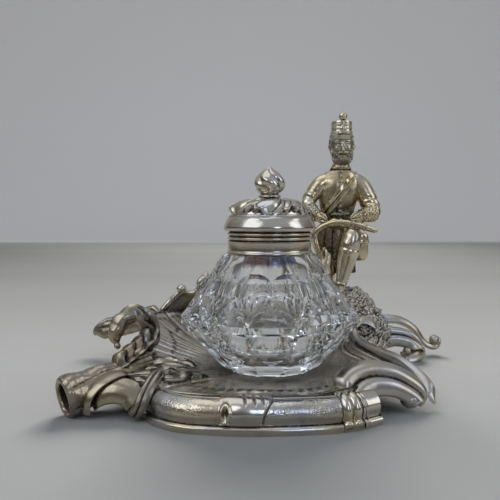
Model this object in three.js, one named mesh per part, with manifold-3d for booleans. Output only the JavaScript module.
// A desk inkstand: a silver-plated rococo tray with two leaf pen rests, a cut-glass inkwell with a
// hinged domed lid, and a rifleman kneeling on a rocky mound. Millimetres, +Z up, -Y towards the user.
import * as THREE from "three";
import { mergeVertices } from "three/addons/utils/BufferGeometryUtils.js";
import Module from "manifold-3d";

const wasm = await Module();
wasm.setup();

// Driving dimensions

const gap = 0.3; // clearance that touching pieces keep
const overrun = 1; // how far a cut runs past a face
const weld = 0.001; // points closer than this are one point

const tray = {
  reach: 100, // unit of the plan: the scrolls are set out in shares of it, from the well's axis
  rise: 50, // unit of the heights: the top of the mound
  metal: 3, // thickness of the cast dish
  seat: 15.5, // height of the flat seat that the well stands on
  seatRadius: 27,
  leafDepth: 1.8, // relief of the leaf waves on the left
  leafColumns: 30, // ridges and valleys of the leaf waves, counted together
  plainColumns: 24, // columns round the rest of the dish
};

const rail = {
  depth: 13, // across the moulding, from the lip inwards
  height: 14,
  wall: 3,
  lip: 1.4, // how far the foot lip stands out
  lipHeight: 2.6,
  rearHeight: 24,
  band: 1.7, // thickness of the ribbon wrapped round it
  fold: 0.9, // relief of the ribbon's folds
  roll: 1.7, // how far the upright rolls swell out
};

const glass = {
  baseRadius: 24,
  girdleRadius: 46.4,
  girdleHeight: 26.4,
  beltHeight: 3,
  landHeight: 9.5, // height of the pointed lands above the belt
  shoulderHeight: 58.7,
  shoulderRadius: 24,
  neckRadius: 17.6,
  neckHeight: 9,
  mouthRadius: 13.4,
  innerRadius: 25,
  floor: 9, // thickness of the glass under the ink
  flutes: 12,
  lowerCut: 2.4, // depth of the lower flutes
  upperCut: 2.6,
  bevel: 1.6,
};

const collar = {
  wall: 3.6,
  height: 11.2,
  skirt: 0.9, // flare of the foot over the shoulder
  groove: 0.7,
};

const lid = {
  rimRadius: 23.9,
  rimHeight: 3.6,
  bandHeight: 7.6,
  domeRadius: 20.7,
  domeHeight: 17,
  wall: 1.8,
  lobes: 6,
  lobeDepth: 0.9,
};

const hinge = {
  knuckleRadius: 2.1,
  pinRadius: 0.9,
  length: 15,
  clearance: 0.25, // between pin and knuckle, and between knuckles
};

const bud = {
  radius: 7.8,
  baseRadius: 5.7,
  height: 16.2,
  sepals: 5,
  sepalDepth: 0.8,
  studRadius: 1.5,
  studLength: 4.6,
  nutRadius: 3.4,
  nutHeight: 1.8,
};

const figure = {
  stature: 100, // from the mound to the shako's brim, the unit of the figure's places
  peakWideShare: 0.072,
  peakThickShare: 0.007,
  pomponShare: 0.027,
  beltWideShare: 0.017, // half the belt's width
  beltThickShare: 0.011,
};

const mount = {
  studRadius: 2,
  studTop: 32, // how high the stud reaches inside the mound
  bossRadius: 5,
  bossFoot: 15, // height of the flat underside that the nut bears on
  nutRadius: 4.2,
  nutHeight: 3,
  studTail: 1.4, // thread left showing under the nut
};

const finishes = {
  plate: { color: 0xb8ad98, roughness: 0.28, metalness: 1 },
  plateDark: { color: 0x8a8070, roughness: 0.42, metalness: 1 },
  rock: { color: 0x6f6a60, roughness: 0.62, metalness: 0.9 },
  glass: { color: 0xe8eef2, roughness: 0.04, metalness: 0 },
  brass: { color: 0xa98c4c, roughness: 0.4, metalness: 1 },
};

// Helpers: places, closed surfaces and cuts

const along = (share) => share * tray.reach;
const up = (share) => share * tray.rise;
const spot = ([x, y, z]) => new THREE.Vector3(along(x), along(y), up(z));
const onFigure = ([x, y, z]) =>
  new THREE.Vector3(x, y, z).multiplyScalar(figure.stature).add(figureFoot);
const turn = (share) => share * 2 * Math.PI;
const smooth = THREE.MathUtils.smoothstep;
const mix = THREE.MathUtils.lerp;

// The solid that a closed geometry bounds, turned so that its faces point out.
function solid(geometry) {
  const bare = new THREE.BufferGeometry();
  bare.setAttribute("position", geometry.getAttribute("position"));
  if (geometry.index) bare.setIndex(geometry.index);
  const merged = mergeVertices(bare, weld);
  const vertProperties = new Float32Array(merged.attributes.position.array);
  const corners = [];
  const index = merged.index.array;
  for (let i = 0; i < index.length; i += 3) {
    const [a, b, c] = index.slice(i, i + 3);
    if (a !== b && b !== c && c !== a) corners.push(a, b, c);
  }
  const build = (list) =>
    new wasm.Manifold(new wasm.Mesh({ numProp: 3, vertProperties, triVerts: new Uint32Array(list) }));
  const made = build(corners);
  return made.volume() > 0 ? made : build(corners.reverse());
}

// The geometry of a solid.
function geometryOf(body) {
  const mesh = body.getMesh();
  const geometry = new THREE.BufferGeometry();
  geometry.setAttribute("position", new THREE.BufferAttribute(mesh.vertProperties, mesh.numProp));
  geometry.setIndex(new THREE.BufferAttribute(mesh.triVerts, 1));
  geometry.computeVertexNormals();
  return geometry;
}

// The largest body of a solid, so that a cut leaves no slivers.
function whole(body) {
  return body.decompose().sort((a, b) => b.volume() - a.volume())[0];
}

// Takes the neighbours away from a piece.
function clear(body, ...neighbours) {
  return whole(neighbours.reduce((rest, neighbour) => rest.subtract(neighbour), body));
}

// A closed skin over rings of points, with a fan at each end.
function loft(rings) {
  const sides = rings[0].length;
  const points = rings.flat();
  const index = [];
  for (let ring = 0; ring < rings.length - 1; ring++)
    for (let side = 0; side < sides; side++) {
      const next = (side + 1) % sides;
      const [a, b] = [ring * sides + side, ring * sides + next];
      index.push(a, b, b + sides, a, b + sides, a + sides);
    }
  const cap = (ring, forward) => {
    const middle = new THREE.Vector3();
    rings[ring].forEach((p) => middle.addScaledVector(p, 1 / sides));
    const centre = points.push(middle) - 1;
    for (let side = 0; side < sides; side++) {
      const pair = [ring * sides + side, ring * sides + ((side + 1) % sides)];
      index.push(centre, ...(forward ? pair.reverse() : pair));
    }
  };
  cap(0, true);
  cap(rings.length - 1, false);
  const geometry = new THREE.BufferGeometry().setFromPoints(points);
  geometry.setIndex(index);
  return solid(geometry);
}

// An oval section: half width across, half height out, with an optional flattening of its underside.
function oval(across, out, sides, flatShare = 0) {
  return Array.from({ length: sides }, (_, i) => {
    const angle = turn(i / sides);
    const lift = Math.sin(angle);
    return [across * Math.cos(angle), out * (lift < 0 ? lift * (1 - flatShare) : lift)];
  });
}

// A scrolled band's section: `ridges` rounded lines over its upper side, flat below.
function ridged(across, out, ridges, reliefShare, sides) {
  const top = Array.from({ length: sides }, (_, i) => {
    const s = 1 - (2 * i) / (sides - 1);
    const wave = 0.5 + 0.5 * Math.cos(Math.PI * (s * ridges + ridges - 1));
    return [across * s, out * (1 - reliefShare * (1 - wave)) * Math.sqrt(1.06 - s * s)];
  });
  return [...top, [-across * 0.9, -out], [across * 0.9, -out]];
}

// A leaf's section: a thin fold with a raised midrib.
function leafy(across, thick, foldShare) {
  const rib = thick * 0.9;
  const fold = across * foldShare;
  return [
    [across, fold],
    [across * 0.5, thick + fold * 0.35],
    [thick * 0.6, thick],
    [0, thick + rib],
    [-thick * 0.6, thick],
    [-across * 0.5, thick + fold * 0.35],
    [-across, fold],
    [-across * 0.5, -thick + fold * 0.35],
    [0, -thick],
    [across * 0.5, -thick + fold * 0.35],
  ];
}

// Carries a section along a smooth path; `sectionAt` gives it at each share of the length, and
// `acrossAt` the direction of its width.
function sweep(points, steps, sectionAt, acrossAt) {
  const curve = new THREE.CatmullRomCurve3(points, false, "centripetal");
  const rings = [];
  for (let step = 0; step <= steps; step++) {
    const t = step / steps;
    const middle = curve.getPointAt(t);
    const ahead = curve.getTangentAt(t);
    const across = (typeof acrossAt === "function" ? acrossAt(t) : acrossAt).clone();
    across.addScaledVector(ahead, -across.dot(ahead)).normalize();
    const out = new THREE.Vector3().crossVectors(ahead, across);
    rings.push(
      sectionAt(t).map(([s, n]) => middle.clone().addScaledVector(across, s).addScaledVector(out, n)),
    );
  }
  return loft(rings);
}

// How thick a tapered piece is along its length: a rounded start and end, and a value between.
const rounded = (t, startShare = 0.12, endShare = 0.12) =>
  Math.sqrt(Math.min(1, Math.max(0.02, t / startShare, 0))) *
  Math.sqrt(Math.min(1, Math.max(0.02, (1 - t) / endShare)));

const ball = (radius, centre, sides = 12) =>
  solid(new THREE.SphereGeometry(radius, sides, Math.round(sides * 0.6)).translate(...centre.toArray()));

const rod = (radius, height, sides = 20) =>
  solid(new THREE.CylinderGeometry(radius, radius, height, sides).rotateX(Math.PI / 2));

const lathe = (profile, sides) =>
  solid(
    new THREE.LatheGeometry(profile.map(([r, z]) => new THREE.Vector2(r, z)), sides).rotateX(Math.PI / 2),
  );

const inkstand = new THREE.Group();

// Adds a named piece to a group, with the points that its cuts left too close together made one.
function add(name, body, finish, group = inkstand) {
  const welded = solid(geometryOf(body));
  const mesh = new THREE.Mesh(geometryOf(welded), new THREE.MeshStandardMaterial(finishes[finish]));
  mesh.name = name;
  group.add(mesh);
  return mesh;
}

// Tray dish: an open shell whose rim line rises and falls, with shell rays on its left and rear

// Rim places: x and y in shares of the reach, the rim's height in shares of the rise.
const rimShares = [
  [-0.57, -0.36, 0.27],
  [-0.4, -0.42, 0.25],
  [-0.1, -0.455, 0.25],
  [0.18, -0.45, 0.25],
  [0.36, -0.37, 0.28],
  [0.6, -0.24, 0.29],
  [0.7, -0.09, 0.29],
  [0.62, 0.1, 0.33],
  [0.52, 0.3, 0.4],
  [0.56, 0.54, 0.48],
  [0.63, 0.72, 0.46],
  [0.56, 0.9, 0.46],
  [0.28, 0.985, 0.52],
  [-0.06, 0.98, 0.54],
  [-0.4, 0.96, 0.56],
  [-0.68, 0.9, 0.6],
  [-0.8, 0.74, 0.58],
  [-0.74, 0.55, 0.5],
  [-0.7, 0.38, 0.48],
  [-0.68, 0.2, 0.44],
  [-0.74, 0.02, 0.4],
  [-0.76, -0.16, 0.34],
  [-0.68, -0.28, 0.3],
];
const upperShares = [0.28, 0.42, 0.54, 0.64, 0.75, 0.85, 0.93, 1];
const lowerShares = [1, 0.75, 0.28];
const leafStartShare = 0.68; // share of the rim line where the leafy left side begins
const leafBendShare = 0.04; // how far along the rim the leaf waves bend on their way inwards
const rimCurve = new THREE.CatmullRomCurve3(rimShares.map(spot), true, "centripetal");
const columnShares = [
  ...Array.from({ length: tray.plainColumns }, (_, i) => (leafStartShare * i) / tray.plainColumns),
  ...Array.from({ length: tray.leafColumns }, (_, i) => mix(leafStartShare, 1, i / tray.leafColumns)),
];

// Height of the dish's upper face at a share of the way from the well's axis to a rim point.
function dishHeight(rim, share, column) {
  const radius = Math.hypot(rim.x, rim.y);
  const start = tray.seatRadius / radius;
  const out = Math.max(0, (share - start) / (1 - start));
  const left = smooth(-rim.x / tray.reach, 0.2, 0.5);
  const window = smooth(out, 0.15, 0.4) * (1 - 0.5 * smooth(out, 0.9, 1));
  const ridge = column < tray.plainColumns ? 0 : column % 2;
  return tray.seat + (rim.z - tray.seat) * out ** 1.7 + tray.leafDepth * left * window * ridge;
}

function dishBody(grow = 0, filled = false) {
  const ringAt = (share, drop) =>
    columnShares.map((columnShare, i) => {
      const rim = rimCurve.getPointAt((columnShare + leafBendShare * (1 - share)) % 1);
      const radius = Math.hypot(rim.x, rim.y);
      const size = (share * (radius + grow)) / radius;
      return new THREE.Vector3(rim.x * size, rim.y * size, dishHeight(rim, share, i) + drop);
    });
  const upper = upperShares.map((share) => ringAt(share, grow));
  if (filled) return loft([...upper, ringAt(1, 0).map((rim) => rim.setZ(0))]);
  const lower = lowerShares.map((share) => ringAt(share, -tray.metal - grow));
  return loft([...upper, ...lower]);
}

const figureFoot = spot([0.48, 0.66, 0.94]);
const studPlace = spot([0.46, 0.72, 0]);
const post = (radius, bottom, top, sides = 12) =>
  rod(radius, top - bottom, sides).translate(studPlace.x, studPlace.y, (top + bottom) / 2);
const studHole = post(mount.studRadius + gap, 0, mount.studTop + gap);
const dishGrown = dishBody(gap);
const boss = post(mount.bossRadius, mount.bossFoot, tray.seat + tray.metal);
add("tray_dish", dishBody().add(boss).subtract(studHole), "plate");
const nutTop = mount.bossFoot - gap;
const nutFoot = nutTop - mount.nutHeight;
const mountNut = post(mount.nutRadius, nutFoot, nutTop, 6);
add("mound_nut", mountNut.subtract(post(mount.studRadius + gap, 0, tray.rise)), "brass");
add("mound_stud", post(mount.studRadius, nutFoot - mount.studTail, mount.studTop, 12), "brass");

// Front rail: a hollow half-round moulding on a thin foot lip, bowed forward

const frontShares = [
  [-0.6, -0.37, 0],
  [-0.52, -0.47, 0],
  [-0.4, -0.545, 0],
  [-0.14, -0.585, 0],
  [0.17, -0.57, 0],
  [0.34, -0.53, 0],
  [0.5, -0.43, 0],
];
const frontCurve = new THREE.CatmullRomCurve3(frontShares.map(spot), false, "centripetal");

const bulgeShares = [0, 0.2, 0.4, 0.6, 0.8, 1];

// The moulding's section, from the lip up over the bulge and back under it; out is +, up is +.
function railSection(height, swell = 0, solidCore = false) {
  const { depth, lip, lipHeight, wall } = rail;
  const bulge = bulgeShares.map((share) => {
    const angle = mix(-0.35, Math.PI / 2, share);
    const high = (height - lipHeight) * 0.55;
    return [
      -depth * 0.62 + (depth * 0.5 + swell) * Math.cos(angle),
      height - high + (high + swell) * Math.sin(angle),
    ];
  });
  const outer = [[0, 0], [0, lipHeight * 0.6], [-lip, lipHeight], ...bulge, [-depth, height * 0.9]];
  const inner = solidCore
    ? [[-depth, 0]]
    : [
        [-depth, height * 0.9 - wall],
        [-depth * 0.62, height - wall],
        [-depth * 0.3, height - wall * 1.6],
        [-lip - wall * 0.9, lipHeight],
        [-lip - wall * 0.9, 0],
      ];
  return [...outer, ...inner];
}

// Carries a section in the plane across a level path; out is to the right of travel.
function carry(curve, steps, sectionAt, from = 0, to = 1) {
  const rings = [];
  for (let step = 0; step <= steps; step++) {
    const t = mix(from, to, step / steps);
    const middle = curve.getPointAt(t);
    const ahead = curve.getTangentAt(t).setZ(0).normalize();
    const out = new THREE.Vector3(ahead.y, -ahead.x, 0);
    rings.push(
      sectionAt(t, step / steps).map(
        ([s, z]) => new THREE.Vector3(middle.x + out.x * s, middle.y + out.y * s, middle.z + z),
      ),
    );
  }
  return loft(rings);
}

const rollsShare = 0.815; // share of the front path where the rolls begin
const blockShare = 0.91; // and where the end block begins
const frontRail = clear(carry(frontCurve, 14, () => railSection(rail.height), 0, rollsShare), dishGrown);
const frontRailGrown = carry(frontCurve, 14, () => railSection(rail.height + gap, gap, true), 0, rollsShare);
add("front_rail", frontRail, "plate");

// Ribbon band: three slanting folds wrapped over the rail
const bandFolds = 3;
const bandStartShare = 0.36;
const bandEndShare = 0.56;
function bandSection(t, share) {
  const swell = rail.band + rail.fold * Math.abs(Math.sin(Math.PI * bandFolds * share));
  const outer = railSection(rail.height, swell).slice(2, 10);
  const inner = railSection(rail.height, gap).slice(2, 10);
  outer[0] = [outer[0][0] + gap, outer[0][1] + gap];
  inner[0] = [inner[0][0] + gap, inner[0][1] + gap * 2];
  return [...outer, ...inner.reverse()];
}
const band = carry(frontCurve, 9, bandSection, bandStartShare, bandEndShare);
add("rail_ribbon_band", clear(band, dishGrown, frontRail), "plate");

// Rail end: two upright rolls, then a flat-ended block
const gapShare = gap / frontCurve.getLength();
const rollSwell = (share) => rail.roll * Math.abs(Math.sin(turn(share)));
const rolls = carry(
  frontCurve,
  8,
  (t, share) => railSection(rail.height, rollSwell(share)),
  rollsShare + gapShare,
  blockShare,
);
add("rail_end_rolls", clear(rolls, dishGrown), "plate");
const blockStart = frontCurve.getPointAt(blockShare + gapShare);
const blockAhead = frontCurve.getTangentAt(blockShare + gapShare);
const blockLength = frontCurve.getLength() * (1 - blockShare);
const blockEnd = blockStart.clone().addScaledVector(blockAhead, blockLength);
const blockLine = new THREE.LineCurve3(blockStart, blockEnd);
const block = carry(blockLine, 1, () => railSection(rail.height));
const blockGrown = carry(blockLine, 1, () => railSection(rail.height + gap, gap, true));
add("rail_end_block", clear(block, dishGrown), "plate");

// Rear rail: a taller moulding closing the back, its foot arched between two bearing ends
const rearShares = [
  [0.6, 1.0, 0],
  [0.3, 1.09, 0],
  [-0.06, 1.085, 0],
  [-0.4, 1.06, 0],
  [-0.66, 1.02, 0],
];
const rearCurve = new THREE.CatmullRomCurve3(rearShares.map(spot), false, "centripetal");
const rearRail = carry(rearCurve, 12, (t, share) => {
  const arch = tray.seat * 0.4 * Math.sin(Math.PI * smooth(share, 0.15, 0.85)) ** 2;
  return railSection(rail.rearHeight).map(([s, z]) => [s, mix(arch, rail.rearHeight, z / rail.rearHeight)]);
});
add("rear_rail", clear(rearRail, dishGrown), "plate");

// Scrolls: tapered bands carried along curled paths

const northward = new THREE.Vector3(0, 1, 0);
const southward = new THREE.Vector3(0, -1, 0);

// A scroll's settings: its path in shares, its half width and half thickness, and how it tapers.
function scroll({ shares, across, out, taper, ridges, steps, sides, direction, start, end }) {
  return (grow = 0) =>
    sweep(
      shares.map(spot),
      steps,
      (t) => {
        const size = mix(1, taper, t) * rounded(t, start, end);
        return ridges
          ? ridged(across * size + grow, out * size + grow, ridges, 0.35, sides)
          : oval(across * size + grow, out * size + grow, sides, 0.3);
      },
      direction,
    );
}

const standing = (body) => body.trimByPlane([0, 0, 1], 0);

const rightFrontScroll = scroll({
  shares: [
    [0.36, -0.35, 0.2],
    [0.39, -0.31, 0.28],
    [0.47, -0.27, 0.33],
    [0.57, -0.25, 0.31],
    [0.65, -0.24, 0.24],
    [0.715, -0.235, 0.14],
    [0.73, -0.235, 0.05],
  ],
  across: 10.4,
  out: 3.6,
  taper: 0.68,
  ridges: 3,
  steps: 12,
  sides: 11,
  direction: new THREE.Vector3(0.3, 0.7, 0.75),
  start: 0.1,
  end: 0.08,
});
add("right_front_scroll", standing(clear(rightFrontScroll(), dishGrown, blockGrown)), "plate");

const rightRimRibbon = scroll({
  shares: [
    [0.655, 0.5, 0.44],
    [0.64, 0.5, 0.57],
    [0.57, 0.5, 0.63],
    [0.51, 0.48, 0.54],
    [0.525, 0.36, 0.42],
    [0.6, 0.18, 0.38],
    [0.69, 0, 0.34],
    [0.77, -0.16, 0.2],
    [0.79, -0.23, 0.06],
  ],
  across: 3.1,
  out: 1.4,
  taper: 1.15,
  ridges: 0,
  steps: 20,
  sides: 6,
  direction: new THREE.Vector3(0, 0.75, 0.66),
  start: 0.05,
  end: 0.05,
});
add(
  "right_rim_ribbon",
  standing(clear(rightRimRibbon(), dishGrown, rightFrontScroll(gap))),
  "plate",
);

const rearScrollSpread = new THREE.Vector3(-0.2, 0.85, 0.5);
const rightRearScroll = scroll({
  shares: [
    [0.6, 0.8, 0.26],
    [0.72, 0.82, 0.26],
    [0.84, 0.82, 0.3],
    [0.94, 0.81, 0.25],
    [0.985, 0.8, 0.14],
    [0.95, 0.79, 0.06],
    [0.9, 0.79, 0.07],
    [0.9, 0.79, 0.13],
  ],
  across: 8.4,
  out: 5.4,
  taper: 0.62,
  ridges: 2,
  steps: 17,
  sides: 8,
  direction: rearScrollSpread,
  start: 0.1,
  end: 0.1,
});
const rearScrollBody = clear(rightRearScroll(), dishGrown);
add("right_rear_scroll", standing(rearScrollBody), "plate");

const rearCurlTip = spot([1.14, 0.96, 0.2]);
const rightRearCurl = scroll({
  shares: [
    [0.66, 0.93, 0.4],
    [0.8, 0.95, 0.47],
    [0.9, 0.95, 0.46],
    [0.99, 0.95, 0.36],
    [1.05, 0.96, 0.2],
    [1.1, 0.96, 0.12],
    [1.15, 0.96, 0.11],
    [1.17, 0.96, 0.2],
    [1.14, 0.96, 0.27],
  ],
  across: 6.4,
  out: 4,
  taper: 0.55,
  ridges: 0,
  steps: 16,
  sides: 8,
  direction: northward,
  start: 0.1,
  end: 0.08,
});
const rearCurlBody = rightRearCurl().add(ball(along(0.032), rearCurlTip, 8));
const rearRailGrown = carry(rearCurve, 12, () => railSection(rail.rearHeight + gap, gap, true));
add(
  "right_rear_curl",
  clear(rearCurlBody, dishGrown, rightRearScroll(gap), rearRailGrown),
  "plate",
);

const rearLeftScroll = scroll({
  shares: [
    [-0.7, 0.84, 0.56],
    [-0.8, 0.88, 0.5],
    [-0.92, 0.92, 0.42],
    [-1.04, 0.95, 0.36],
    [-1.12, 0.96, 0.33],
    [-1.16, 0.96, 0.28],
  ],
  across: 11,
  out: 6.6,
  taper: 0.85,
  ridges: 2,
  steps: 12,
  sides: 10,
  direction: new THREE.Vector3(-0.1, -1, -0.5),
  start: 0.1,
  end: 0.2,
});
add("rear_left_scroll", clear(rearLeftScroll(), dishGrown, rearRailGrown), "plate");

// Left side: the branch arm with its hollow horn end, the arched apron, the strap and the rail's scroll

const armShares = [
  [-0.97, -0.34, 0.18],
  [-0.9, -0.28, 0.22],
  [-0.8, -0.2, 0.26],
  [-0.7, -0.12, 0.29],
  [-0.62, -0.04, 0.32],
];
const arm = (grow = 0) =>
  sweep(
    armShares.map(spot),
    8,
    (t) => {
      const size = mix(1, 0.72, t) * (1 + 0.05 * Math.sin(turn(t * 3)));
      return oval(along(0.075) * size + grow, along(0.1) * size + grow, 12);
    },
    new THREE.Vector3(0.6, -0.8, 0),
  );
const hornShares = [[-1.0, -0.37, 0.18], [-0.97, -0.34, 0.19], [-0.87, -0.25, 0.26]];
const horn = sweep(
  hornShares.map(spot),
  4,
  (t) => oval(along(0.052) * mix(1, 0.5, t), along(0.075) * mix(1, 0.5, t), 12),
  new THREE.Vector3(0.6, -0.8, 0),
);
add("left_branch_arm", standing(clear(arm(), dishGrown, horn)), "plate");

const strapShares = [
  [-0.69, -0.25, 0.37],
  [-0.75, -0.285, 0.37],
  [-0.82, -0.32, 0.3],
  [-0.865, -0.345, 0.18],
  [-0.87, -0.35, 0.03],
];
const strap = (grow = 0) =>
  sweep(
    strapShares.map(spot),
    9,
    (t) => oval(along(0.05) * mix(1, 0.8, t) * rounded(t, 0.1, 0.02) + grow, along(0.016) + grow, 8),
    new THREE.Vector3(0.6, -0.5, 0),
  );
const strapBody = standing(clear(strap(), dishGrown, arm(gap)));
add("left_strap_scroll", strapBody, "plate");

const railScroll = scroll({
  shares: [
    [-0.53, -0.22, 0.38],
    [-0.555, -0.3, 0.34],
    [-0.585, -0.38, 0.24],
    [-0.61, -0.4, 0.12],
    [-0.64, -0.38, 0.03],
  ],
  across: 4.2,
  out: 2.6,
  taper: 0.8,
  ridges: 2,
  steps: 9,
  sides: 8,
  direction: new THREE.Vector3(1, -0.2, 0.2),
  start: 0.15,
  end: 0.05,
});
add("rail_left_scroll", standing(clear(railScroll(), dishGrown, frontRailGrown)), "plate");

const apronShares = [
  [-0.85, -0.3, 0.14],
  [-0.8, -0.32, 0.22],
  [-0.73, -0.33, 0.25],
  [-0.66, -0.34, 0.22],
  [-0.62, -0.36, 0.14],
];
const apron = sweep(
  apronShares.map(spot),
  8,
  () => oval(along(0.062), along(0.022), 8),
  new THREE.Vector3(0, 0.45, 0.9),
);
add("left_apron", clear(standing(apron), dishGrown, arm(gap), strap(gap), railScroll(gap)), "plate");

// Pen rests: a curled leaf in front and a budded stem behind

const hookShares = [
  [-0.76, -0.19, 0.36],
  [-0.71, -0.06, 0.44],
  [-0.665, 0.05, 0.54],
  [-0.645, 0.1, 0.65],
  [-0.67, 0.09, 0.76],
  [-0.72, 0.06, 0.81],
  [-0.775, 0.03, 0.75],
  [-0.8, 0.01, 0.63],
  [-0.795, 0, 0.53],
];
const hook = sweep(
  hookShares.map(spot),
  18,
  (t) => {
    const lobe = 1 + 0.16 * Math.abs(Math.sin(turn(t * 3)));
    const size = mix(1, 0.45, t ** 1.5) * lobe * rounded(t, 0.06, 0.1);
    return leafy(along(0.068) * size, along(0.03) * mix(1, 0.7, t), 0.2);
  },
  new THREE.Vector3(-0.5, -0.85, 0.1),
);
add("left_pen_rest", clear(hook, dishGrown, arm(gap), strap(gap)), "plate");

const stemShares = [
  [-0.72, 0.99, 0.5],
  [-0.66, 0.98, 0.66],
  [-0.6, 0.97, 0.8],
  [-0.56, 0.97, 0.86],
  [-0.5, 0.97, 0.83],
  [-0.45, 0.97, 0.88],
  [-0.42, 0.97, 0.96],
  [-0.39, 0.97, 1.12],
];
const stem = sweep(
  stemShares.map(spot),
  13,
  (t) => {
    const budSwell = smooth(t, 0.66, 0.82) * (1 - smooth(t, 0.85, 1));
    const size = mix(along(0.034), along(0.016), smooth(t, 0, 0.5)) + along(0.026) * budSwell;
    return oval(size, size, 8);
  },
  southward,
);
const knob = ball(along(0.034), spot([-0.565, 0.96, 0.885]), 8);
const rearLeftGrown = rearLeftScroll(gap);
const rearRest = clear(stem.add(knob), dishGrown, rearRailGrown, rearLeftGrown);
add("rear_pen_rest", rearRest, "plate");

const leafShares = [[-0.66, 1.0, 0.52], [-0.58, 1.01, 0.66], [-0.5, 1.01, 0.76], [-0.42, 1.01, 0.82]];
const rearLeaf = sweep(
  leafShares.map(spot),
  7,
  (t) => leafy(along(0.075) * rounded(t, 0.3, 0.7), along(0.011), 0.12),
  new THREE.Vector3(0.5, 0, -1),
);
add("rear_leaf", clear(rearLeaf, dishGrown, rearRailGrown, rearLeftGrown, rearRest), "plate");

// Rock mound: rough ground that rises from the dish to the figure's feet

const moundShares = [
  [0.2, 0.6], [0.28, 0.5], [0.44, 0.46], [0.57, 0.5], [0.69, 0.56], [0.78, 0.7],
  [0.77, 0.84], [0.62, 0.92], [0.4, 0.93], [0.24, 0.86], [0.18, 0.74],
];
const moundSides = 20;
const moundCurve = new THREE.CatmullRomCurve3(moundShares.map(([x, y]) => spot([x, y, 0])), true);
const moundFoot = moundCurve.getSpacedPoints(moundSides).slice(0, moundSides);
const moundCentre = new THREE.Vector3(along(0.45), along(0.69), 0);
const roughness = (i, level) => Math.sin(i * 2.4 + level * 1.9) * Math.cos(i * 1.3 - level * 2.7);
const moundRing = ([sizeShare, heightShare], level) =>
  moundFoot.map((foot, i) => {
    const size = sizeShare * (1 + 0.06 * roughness(i, level));
    const slope = 1 - 0.12 * smooth(foot.x / tray.reach, 0.5, 0.76) * smooth(sizeShare, 0.4, 0.7);
    const z = up(heightShare * slope) * (1 + 0.03 * roughness(i + 3, level + 1));
    return new THREE.Vector3(mix(moundCentre.x, foot.x, size), mix(moundCentre.y, foot.y, size), z);
  });
const moundLevelShares = [
  [1, 0.28], [1, 0.46], [0.96, 0.58], [0.86, 0.72], [0.78, 0.8], [0.64, 0.91], [0.4, 0.95],
];
const mound = clear(
  loft(moundLevelShares.map(moundRing)),
  dishBody(gap, true),
  studHole,
  rightRearScroll(gap),
  rightRearCurl(gap),
  rightRimRibbon(gap),
  rearRailGrown,
);
add("rock_mound", mound, "rock");

// Figure: a bearded rifleman on his right knee, his rifle across his left thigh

const ellipse = ([x, y, z, wide, deep], grow, sides) =>
  Array.from({ length: sides }, (_, i) => {
    const angle = turn(i / sides);
    const middle = onFigure([x, y, z]);
    return new THREE.Vector3(
      middle.x + (wide * figure.stature + grow) * Math.cos(angle),
      middle.y + (deep * figure.stature + grow) * Math.sin(angle),
      middle.z,
    );
  });
const stacked = (shares, grow, sides) => loft(shares.map((row) => ellipse(row, grow, sides)));

// A limb: round sections along a path, each row a place and a radius, all in shares of the stature.
function limb(shares, grow, steps, sides, direction) {
  const radii = new THREE.CatmullRomCurve3(
    shares.map((row) => new THREE.Vector3(row[3], row[4] ?? row[3], 0)),
    false,
    "centripetal",
  );
  return sweep(
    shares.map(onFigure),
    steps,
    (t) => {
      const size = radii.getPoint(t);
      const cap = rounded(t, 0.06, 0.06);
      return oval(figure.stature * size.x * cap + grow, figure.stature * size.y * cap + grow, sides);
    },
    direction,
  );
}

const torsoShares = [
  [-0.03, 0.06, 0.36, 0.115, 0.1],
  [-0.028, 0.05, 0.47, 0.102, 0.078],
  [-0.026, 0.042, 0.55, 0.118, 0.084],
  [-0.018, 0.04, 0.63, 0.132, 0.088],
  [-0.012, 0.04, 0.69, 0.132, 0.08],
  [-0.01, 0.04, 0.735, 0.1, 0.062],
  [-0.008, 0.038, 0.766, 0.056, 0.05],
  [-0.006, 0.036, 0.81, 0.046, 0.045],
];
const skirtShares = [
  [-0.03, 0.09, 0.11, 0.125, 0.125],
  [-0.035, 0.08, 0.22, 0.122, 0.12],
  [-0.035, 0.07, 0.34, 0.118, 0.11],
  [-0.026, 0.052, 0.45, 0.1, 0.082],
  [-0.025, 0.05, 0.48, 0.094, 0.074],
];
const tunic = (grow = 0) => stacked(torsoShares, grow, 12).add(stacked(skirtShares, grow, 12));
const moundGrown = loft(moundLevelShares.map(moundRing)).translate(0, 0, gap);
const tunicGrown = tunic(gap);
add("figure_tunic", clear(tunic(), moundGrown), "plateDark");

const rifleShares = [
  [-0.15, -0.05, 0.24, 0.032, 0.02],
  [-0.17, -0.055, 0.29, 0.03, 0.02],
  [-0.18, -0.065, 0.355, 0.02, 0.017],
  [-0.14, -0.085, 0.4, 0.017, 0.017],
  [-0.09, -0.1, 0.42, 0.017, 0.018],
  [-0.03, -0.115, 0.424, 0.018, 0.02],
  [0.04, -0.137, 0.416, 0.016, 0.018],
  [0.1, -0.16, 0.402, 0.014, 0.015],
  [0.175, -0.195, 0.378, 0.012, 0.013],
];
const levelAcross = new THREE.Vector3(0.4, 1, 0);
const rifle = (grow = 0) => limb(rifleShares, grow, 14, 6, levelAcross);
add("figure_rifle", clear(rifle(), tunicGrown), "plateDark");

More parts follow.
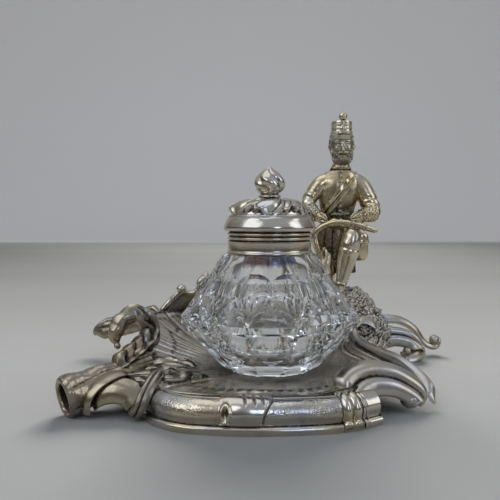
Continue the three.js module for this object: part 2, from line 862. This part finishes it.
const thighAcross = new THREE.Vector3(1, 0.2, 0);
const leftLegShares = [
  [0.03, 0.05, 0.33, 0.072],
  [0.042, -0.04, 0.35, 0.066],
  [0.04, -0.115, 0.345, 0.056],
  [0.022, -0.12, 0.27, 0.06],
  [0.002, -0.105, 0.18, 0.05],
  [-0.02, -0.095, 0.08, 0.032],
  [-0.03, -0.1, 0.035, 0.028],
  [-0.035, -0.16, 0.022, 0.026, 0.02],
  [-0.038, -0.2, 0.02, 0.022, 0.014],
];
const leftLeg = (grow = 0) => limb(leftLegShares, grow, 14, 8, thighAcross);
const rifleGrown = rifle(gap);
add("figure_left_leg", clear(leftLeg(), tunicGrown, rifleGrown, moundGrown), "plateDark");

const rightLegShares = [
  [-0.08, 0.06, 0.3, 0.06],
  [-0.1, 0.0, 0.16, 0.055],
  [-0.105, -0.02, 0.07, 0.05],
  [-0.1, 0.06, 0.045, 0.045],
  [-0.09, 0.17, 0.04, 0.038],
  [-0.085, 0.26, 0.05, 0.03],
  [-0.085, 0.275, 0.0, 0.024],
];
const rightLeg = limb(rightLegShares, 0, 10, 8, thighAcross);
add("figure_right_leg", clear(rightLeg, tunicGrown, moundGrown, leftLeg(gap)), "plateDark");

const armAcross = new THREE.Vector3(0, -1, 0.3);
const armTableShares = {
  figure_right_arm: [
    [-0.08, 0.04, 0.7, 0.044],
    [-0.13, 0.037, 0.67, 0.054],
    [-0.18, 0.03, 0.61, 0.05],
    [-0.215, 0.015, 0.55, 0.043],
    [-0.2, -0.03, 0.5, 0.04],
    [-0.15, -0.075, 0.46, 0.03],
    [-0.115, -0.095, 0.44, 0.026],
  ],
  figure_left_arm: [
    [0.06, 0.04, 0.7, 0.046],
    [0.105, 0.036, 0.67, 0.058],
    [0.138, 0.025, 0.615, 0.062],
    [0.17, 0.0, 0.54, 0.056],
    [0.18, -0.05, 0.488, 0.046],
    [0.13, -0.095, 0.476, 0.04],
    [0.07, -0.125, 0.462, 0.03],
    [0.03, -0.14, 0.45, 0.026],
  ],
};
const armsGrown = Object.entries(armTableShares).map(([name, shares]) => {
  add(name, clear(limb(shares, 0, 9, 8, armAcross), tunicGrown, rifleGrown), "plateDark");
  return limb(shares, gap, 9, 8, armAcross);
});

const shakoShares = [
  [-0.005, 0.03, 0.945, 0.07, 0.078],
  [-0.005, 0.03, 0.965, 0.074, 0.082],
  [-0.005, 0.028, 0.98, 0.071, 0.078],
  [-0.004, 0.022, 1.04, 0.063, 0.069],
  [-0.004, 0.021, 1.048, 0.066, 0.072],
  [-0.004, 0.021, 1.06, 0.064, 0.07],
];
const shako = (grow = 0) => stacked(shakoShares, grow, 12);
add("figure_shako", shako(), "plateDark");

const headShares = [
  [-0.006, 0.036, 0.79, 0.042, 0.042],
  [-0.006, 0.032, 0.825, 0.05, 0.05],
  [-0.005, 0.026, 0.85, 0.064, 0.062],
  [-0.005, 0.022, 0.89, 0.075, 0.072],
  [-0.005, 0.024, 0.92, 0.077, 0.076],
  [-0.005, 0.028, 0.945, 0.074, 0.075],
];
const beardShares = [
  [-0.005, 0, 0.787, 0.032, 0.026],
  [-0.005, -0.008, 0.808, 0.056, 0.04],
  [-0.005, -0.01, 0.838, 0.066, 0.045],
  [-0.005, -0.008, 0.87, 0.067, 0.044],
  [-0.005, -0.002, 0.895, 0.056, 0.042],
];
const headBody = stacked(headShares, 0, 12).add(stacked(beardShares, 0, 8));
add("figure_head", clear(headBody, tunicGrown, shako(gap)), "plateDark");

const peakShares = [[-0.005, -0.02, 0.965], [-0.005, -0.065, 0.955], [-0.005, -0.095, 0.935]];
const peakWide = figure.stature * figure.peakWideShare;
const peakThick = figure.stature * figure.peakThickShare;
const peak = sweep(
  peakShares.map(onFigure),
  4,
  (t) => oval(peakWide * Math.sqrt(1.04 - t * t), peakThick, 8),
  new THREE.Vector3(1, 0, 0),
);
add("figure_shako_peak", clear(peak, shako(gap)), "plateDark");
const pomponShares = [-0.003, -0.03, 1.088];
const pompon = ball(figure.stature * figure.pomponShare, onFigure(pomponShares), 8);
add("figure_pompon", clear(pompon, shako(gap)), "plateDark");

const sackShares = [
  [0.125, 0.1, 0.18, 0.03, 0.02],
  [0.128, 0.1, 0.2, 0.044, 0.03],
  [0.13, 0.095, 0.28, 0.046, 0.032],
  [0.128, 0.09, 0.345, 0.042, 0.028],
  [0.125, 0.09, 0.36, 0.03, 0.02],
];
add("figure_haversack", clear(stacked(sackShares, 0, 10), tunicGrown, leftLeg(gap)), "plateDark");

const beltShares = [
  [0.075, 0.02, 0.748],
  [0.066, -0.025, 0.7],
  [0.035, -0.052, 0.64],
  [-0.01, -0.052, 0.58],
  [-0.06, -0.03, 0.52],
  [-0.1, 0.005, 0.47],
];
const belt = sweep(
  beltShares.map(onFigure),
  7,
  () => oval(figure.stature * figure.beltWideShare, figure.stature * figure.beltThickShare, 6),
  new THREE.Vector3(0.7, 0, 0.7),
);
add("figure_cross_belt", clear(belt, tunicGrown, ...armsGrown), "plateDark");

// Inkwell: twelve-sided cut glass, fluted below and above a belt of pointed lands

const inkwell = new THREE.Group();
inkwell.position.z = tray.seat + gap;
inkstand.add(inkwell);

const glassColumns = glass.flutes * 4;
const pitch = turn(1 / glass.flutes);

// Radius of the cut glass at a height: straight cones with hollow flutes cut into them.
function glassRadius(height, angle) {
  const { baseRadius, girdleRadius, girdleHeight, beltHeight, shoulderHeight, shoulderRadius } = glass;
  const offset = ((angle / pitch) % 1 + 1) % 1; // 0 at the middle of a lower flute
  const lower = Math.min(offset, 1 - offset) * 2;
  const upper = 1 - lower;
  const flat = Math.cos(pitch / 2) / Math.cos((lower * pitch) / 2);
  if (height <= girdleHeight - beltHeight / 2) {
    const rise = height / (girdleHeight - beltHeight / 2);
    const cut = glass.lowerCut * Math.sin(Math.PI * Math.min(1, rise * 1.02)) ** 0.6;
    return mix(baseRadius, girdleRadius, rise) * flat - cut * (1 - lower ** 2);
  }
  const top = girdleHeight + beltHeight / 2;
  if (height <= top) return girdleRadius * mix(flat, 1, 0.3);
  const rise = (height - top) / (shoulderHeight - top);
  const half = mix(0.3, 1, Math.min(1, (height - top) / glass.landHeight));
  const window = Math.min(1, rise * 6) * Math.sqrt(Math.max(0, 1 - smooth(rise, 0.75, 0.95)));
  const cut = glass.upperCut * window * Math.max(0, 1 - (upper / half) ** 2);
  return mix(girdleRadius, shoulderRadius, rise) * mix(flat, 1, 0.3 + 0.7 * smooth(rise, 0.7, 1)) - cut;
}

const beltLow = glass.girdleHeight - glass.beltHeight / 2;
const beltHigh = glass.girdleHeight + glass.beltHeight / 2;
const coneHeight = glass.shoulderHeight - beltHigh;
const glassHeights = [
  ...[0.3, 0.65, 0.9, 1].map((share) => beltLow * share),
  beltHigh,
  beltHigh + glass.landHeight / 2,
  beltHigh + glass.landHeight,
  ...[0.6, 0.8, 0.95, 1].map((share) => beltHigh + coneHeight * share),
];
const circle = (radiusAt, height, sides) =>
  Array.from({ length: sides }, (_, i) => {
    const angle = turn(i / sides) - Math.PI / 2;
    const radius = radiusAt(angle + Math.PI / 2);
    return new THREE.Vector3(radius * Math.cos(angle), radius * Math.sin(angle), height);
  });
const neckTop = glass.shoulderHeight + glass.neckHeight;
const glassSkin = loft([
  circle((angle) => glassRadius(0, angle) - glass.bevel, 0, glassColumns),
  circle((angle) => glassRadius(0, angle), glass.bevel, glassColumns),
  ...glassHeights.map((height) => circle((angle) => glassRadius(height, angle), height, glassColumns)),
  circle(() => glass.neckRadius, glass.shoulderHeight + weld, glassColumns),
  circle(() => glass.neckRadius, neckTop, glassColumns),
]);
const inkSpace = lathe(
  [
    [0, glass.floor],
    [glass.innerRadius * 0.7, glass.floor],
    [glass.innerRadius, glass.floor + glass.girdleHeight * 0.4],
    [glass.innerRadius * 0.96, glass.girdleHeight * 1.1],
    [glass.mouthRadius, glass.shoulderHeight * 0.9],
    [glass.mouthRadius, neckTop + overrun],
    [0, neckTop + overrun],
  ],
  16,
);
add("inkwell_glass", glassSkin.subtract(inkSpace), "glass", inkwell);

// Collar: a turned ring round the neck, with a flared foot and three grooves
const collarBore = glass.neckRadius + gap;
const collarRadius = collarBore + collar.wall;
const collarFoot = glass.shoulderHeight + gap;
const collarTop = collarFoot + collar.height;
const grooves = [0, 1, 2].flatMap((i) => {
  const low = collarFoot + collar.height * (0.5 + i * 0.17);
  const ridge = collarRadius + collar.groove;
  return [
    [ridge, low],
    [collarRadius, low + collar.height * 0.05],
    [ridge, low + collar.height * 0.1],
  ];
});
const collarRing = lathe(
  [
    [collarBore, collarFoot],
    [collarRadius + collar.skirt, collarFoot],
    [collarRadius, collarFoot + collar.height * 0.12],
    [collarRadius, collarFoot + collar.height * 0.42],
    ...grooves,
    [collarRadius, collarTop],
    [collarBore, collarTop],
    [collarBore, collarFoot],
  ],
  24,
);

// Hinge behind the collar: two outer knuckles on the collar, the middle one on the lid
const parting = collarTop + gap / 2;
const hingeY = lid.rimRadius + hinge.knuckleRadius + gap;
const barrel = (radius, length, x, sides) =>
  solid(new THREE.CylinderGeometry(radius, radius, length, sides).rotateZ(Math.PI / 2)).translate(
    x,
    hingeY,
    parting,
  );
const knuckle = hinge.length / 3;
const web = (length, x, inner, side) => {
  const deep = hingeY - inner;
  const thick = hinge.knuckleRadius - gap;
  const box = new THREE.BoxGeometry(length, deep, thick);
  return solid(box).translate(x, inner + deep / 2, parting + side * (gap / 2 + thick / 2));
};
const bore = barrel(hinge.pinRadius + hinge.clearance, hinge.length + 2 * overrun, 0, 8);
const outerLength = knuckle - hinge.clearance;
const outer = [-1, 1].map((side) =>
  barrel(hinge.knuckleRadius, outerLength, side * knuckle, 10).add(
    web(outerLength, side * knuckle, collarRadius - gap * 2, -1),
  ),
);
const collarBody = outer.reduce((body, piece) => body.add(piece), collarRing).subtract(bore);
add("inkwell_collar", collarBody, "plate", inkwell);
add("hinge_pin", barrel(hinge.pinRadius, hinge.length, 0, 8), "brass", inkwell);

// Lid: a rolled rim and plain band below a lobed dome, open inside
const lidFoot = collarTop + gap;
const domeShares = [0.98, 0.9, 0.76, 0.55, 0.32];
const domeBase = lidFoot + lid.bandHeight;
const domeRise = lid.domeHeight - lid.bandHeight;
const dome = (share) => domeBase + domeRise * Math.sqrt(1 - share ** 2);
const lobed = (share) => (angle) => {
  const lobe = 1 - Math.abs(Math.cos((angle * lid.lobes) / 2));
  return lid.domeRadius * share - lid.lobeDepth * lobe * Math.sin(Math.PI * Math.min(1, share * 0.9));
};
const lidSides = 24;
const lidRings = [
  circle(() => bud.baseRadius, dome(0.24), lidSides),
  ...[...domeShares].reverse().map((share) => circle(lobed(share), dome(share), lidSides)),
  circle(() => lid.domeRadius, domeBase, lidSides),
  circle(() => mix(lid.domeRadius, lid.rimRadius, 0.55), lidFoot + lid.bandHeight * 0.6, lidSides),
  circle(() => lid.rimRadius - lid.wall / 3, lidFoot + lid.rimHeight, lidSides),
  circle(() => lid.rimRadius, lidFoot + lid.rimHeight * 0.6, lidSides),
  circle(() => lid.rimRadius - lid.wall / 2, lidFoot, lidSides),
  circle(() => lid.domeRadius - lid.wall, lidFoot, lidSides),
  circle(() => lid.domeRadius - lid.wall, domeBase, lidSides),
  circle(() => lid.domeRadius * 0.6, dome(0.72) - lid.wall, lidSides),
  circle(() => bud.nutRadius + gap, dome(0.24) - lid.wall, lidSides),
];
const domeTop = dome(0.24);
const lidHinge = barrel(hinge.knuckleRadius, knuckle - hinge.clearance, 0, 10).add(
  web(knuckle - hinge.clearance, 0, lid.rimRadius - lid.wall / 2 - gap * 2, 1),
);
const budHole = rod(bud.studRadius + gap, lid.domeHeight, 12).translate(0, 0, domeTop);
add("lid", loft(lidRings).add(lidHinge).subtract(bore).subtract(budHole), "plate", inkwell);

// Bud finial on a stud, held by a nut inside the lid
const budColumns = bud.sepals * 4;
const budShares = [
  [0.62, 0], [0.74, 0.05], [0.56, 0.12], [0.78, 0.22], [0.98, 0.38],
  [1, 0.52], [0.84, 0.68], [0.52, 0.83], [0.2, 0.95], [0.05, 1],
];
const budFoot = domeTop + gap;
const budSkin = loft(
  budShares.map(([radiusShare, heightShare]) =>
    circle(
      (angle) => {
        const lobe = 1 - Math.abs(Math.cos((angle * bud.sepals) / 2 + heightShare * 2));
        return radiusShare * (bud.radius - bud.sepalDepth * lobe);
      },
      budFoot + bud.height * heightShare,
      budColumns,
    ),
  ),
);
const budStud = rod(bud.studRadius, bud.studLength, 10).translate(
  0,
  0,
  budFoot - bud.studLength / 2 + gap,
);
add("bud_finial", budSkin.add(budStud), "plate", inkwell);
const finialNutTop = domeTop - lid.wall - gap;
const finialNut = rod(bud.nutRadius, bud.nutHeight, 6)
  .translate(0, 0, finialNutTop - bud.nutHeight / 2)
  .subtract(budHole);
add("finial_nut", finialNut, "brass", inkwell);

// The origin lies on the table under the middle of the inkstand's plan.
const box = new THREE.Box3().setFromObject(inkstand);
const middle = box.getCenter(new THREE.Vector3());
inkstand.position.set(-middle.x, -middle.y, -box.min.z);

export default inkstand;
